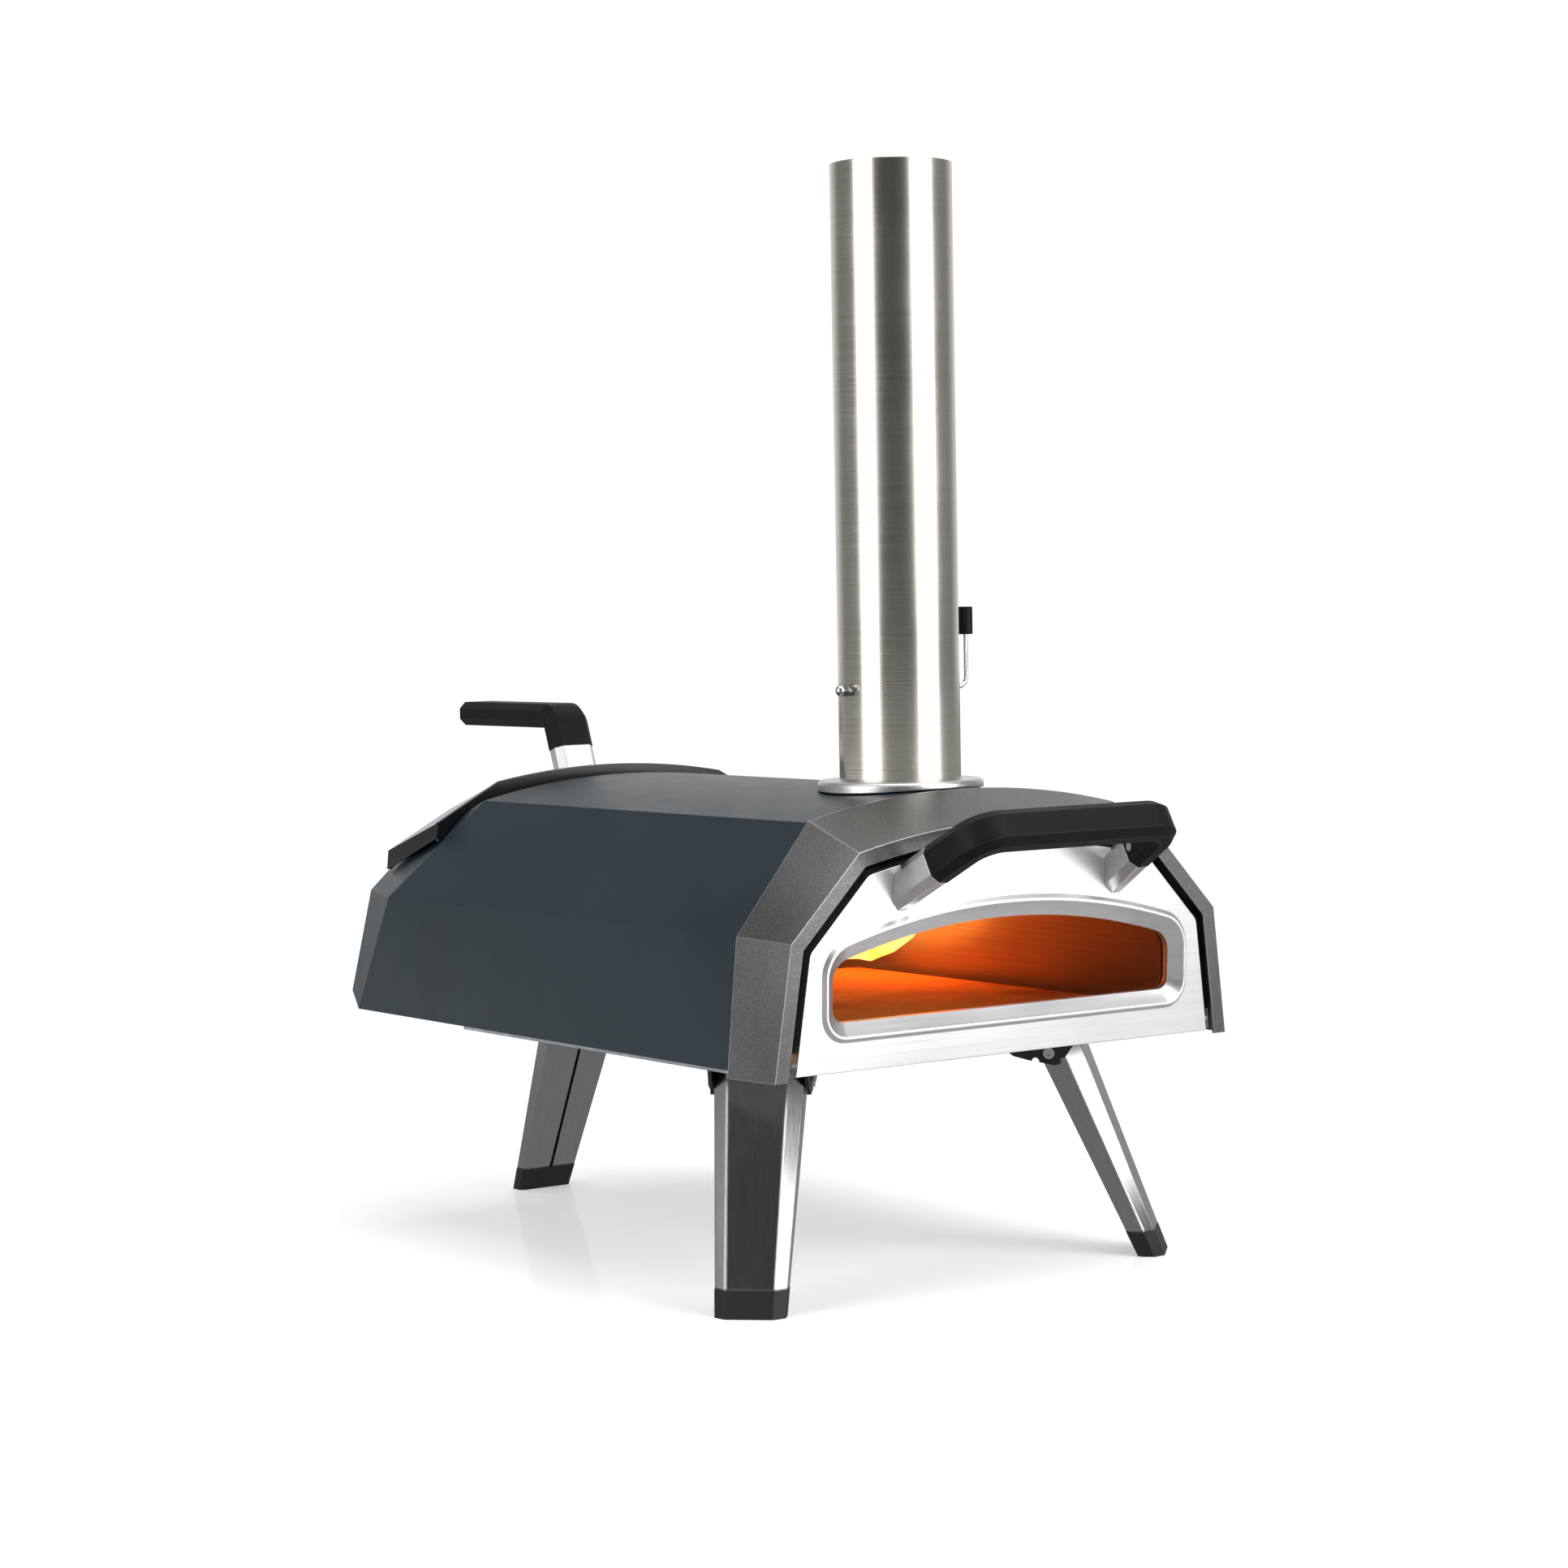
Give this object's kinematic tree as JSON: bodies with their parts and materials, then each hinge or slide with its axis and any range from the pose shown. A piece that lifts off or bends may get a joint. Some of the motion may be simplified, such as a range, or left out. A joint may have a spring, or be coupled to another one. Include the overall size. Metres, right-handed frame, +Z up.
{
  "type": "pizza oven",
  "caption": "Portable table-top pizza oven: faceted steel body on folding legs, glazed drop-down door with a bar handle, lift-off rear fuel hatch and a chimney with a butterfly damper.",
  "frame": {"origin": "middle of the whole oven's footprint, on the ground under the feet", "axes": "+X to the right seen from the door, +Y to the rear, +Z up"},
  "size_m": [0.4152, 0.7818, 0.7915],
  "materials": {
    "frame_coat": "satin gun-metal powder coat",
    "shell_coat": "fine-textured slate-blue powder coat",
    "lid_enamel": "glossy black enamel",
    "black_coat": "satin black powder coat",
    "stainless": "fine brushed stainless",
    "leg_steel": "brushed stainless",
    "liner_steel": "plain stainless, darkened by heat",
    "pan_steel": "plain zinc-plated steel",
    "fastener_steel": "plain steel",
    "cast_aluminium": "satin cast aluminium",
    "satin_aluminium": "satin anodised",
    "black_grip": "matte glass-filled nylon",
    "rubber": "matte rubber",
    "gasket": "graphite fibre sheet",
    "rope_seal": "woven glass-fibre rope",
    "ceramic_fibre": "ceramic-fibre blanket",
    "stone": "unglazed cordierite",
    "glass": "clear ceramic glass"
  },
  "bodies": {
    "oven": {"front_frame": "frame_coat", "shell": "shell_coat", "rear_hood": "shell_coat", "base_tray": "pan_steel", "base_plate": "pan_steel", "chamber_liner": "liner_steel", "insulation_blanket": "ceramic_fibre", "baking_stone": "stone", "fuel_box": "liner_steel", "fuel_tray": "liner_steel", "fuel_grate": "liner_steel", "rear_panel": "shell_coat", "burner_cover": "black_coat", "burner_cover_screws": "fastener_steel", "flange_gasket": "gasket", "chimney_flange": "cast_aluminium", "chimney_spigot": "stainless", "door_seal": "rope_seal", "door_hinge_ears": "fastener_steel", "base_bumpers": "rubber", "leg_bracket_front_left": "black_coat", "leg_bolt_front_left": "fastener_steel", "leg_bracket_front_right": "black_coat", "leg_bolt_front_right": "fastener_steel", "leg_bracket_rear": "black_coat", "leg_bolt_rear": "fastener_steel"},
    "door": {"door_panel": "stainless", "door_glass": "glass", "door_inner_panel": "liner_steel", "door_glass_retainer": "liner_steel", "door_retainer_screws": "fastener_steel", "door_insulation": "ceramic_fibre", "door_hinge_pins": "fastener_steel", "door_handle_posts": "satin_aluminium", "door_handle_grip": "black_grip", "door_handle_screws": "fastener_steel"},
    "hatch": {"fuel_hatch_lid": "lid_enamel", "hatch_insulation": "ceramic_fibre", "hatch_handle_post": "satin_aluminium", "hatch_handle_grip": "black_grip", "hatch_handle_screw": "fastener_steel"},
    "chimney": {"chimney_tube": "stainless"},
    "damper": {"damper_plate": "stainless", "damper_spindle": "fastener_steel", "damper_nut": "fastener_steel", "damper_lever": "fastener_steel", "damper_knob": "black_grip"},
    "front_left_leg": {"leg_front_left": "leg_steel", "leg_foot_front_left": "rubber"},
    "front_right_leg": {"leg_front_right": "leg_steel", "leg_foot_front_right": "rubber"},
    "rear_leg": {"leg_rear": "leg_steel", "leg_foot_rear": "rubber"}
  },
  "joints": [
    {"name": "door_hinge", "type": "hinge", "parent": "oven", "child": "door", "pos_m": [0, -0.2966, 0.17621], "axis": [1, 0, 0], "range_deg": [0, 90]},
    {"name": "fuel_hatch_lift", "type": "slide", "parent": "oven", "child": "hatch", "axis": [0, 0, 1], "range_m": [0, 0.08]},
    {"name": "chimney_lift", "type": "slide", "parent": "oven", "child": "chimney", "axis": [0, 0, 1], "range_m": [0, 0.04]},
    {"name": "damper_turn", "type": "hinge", "parent": "chimney", "child": "damper", "pos_m": [0, -0.18705, 0.4196], "axis": [1, 0, 0], "range_deg": [0, 90]},
    {"name": "front_left_leg_fold", "type": "hinge", "parent": "oven", "child": "front_left_leg", "pos_m": [-0.1329, -0.19525, 0.151], "axis": [0.7181, -0.6959, 0], "range_deg": [0, 104]},
    {"name": "front_right_leg_fold", "type": "hinge", "parent": "oven", "child": "front_right_leg", "pos_m": [0.1329, -0.19525, 0.151], "axis": [0.7181, 0.6959, 0], "range_deg": [0, 104]},
    {"name": "rear_leg_fold", "type": "hinge", "parent": "oven", "child": "rear_leg", "pos_m": [0, 0.23805, 0.151], "axis": [-1, 0, 0], "range_deg": [0, 113]}
  ]
}
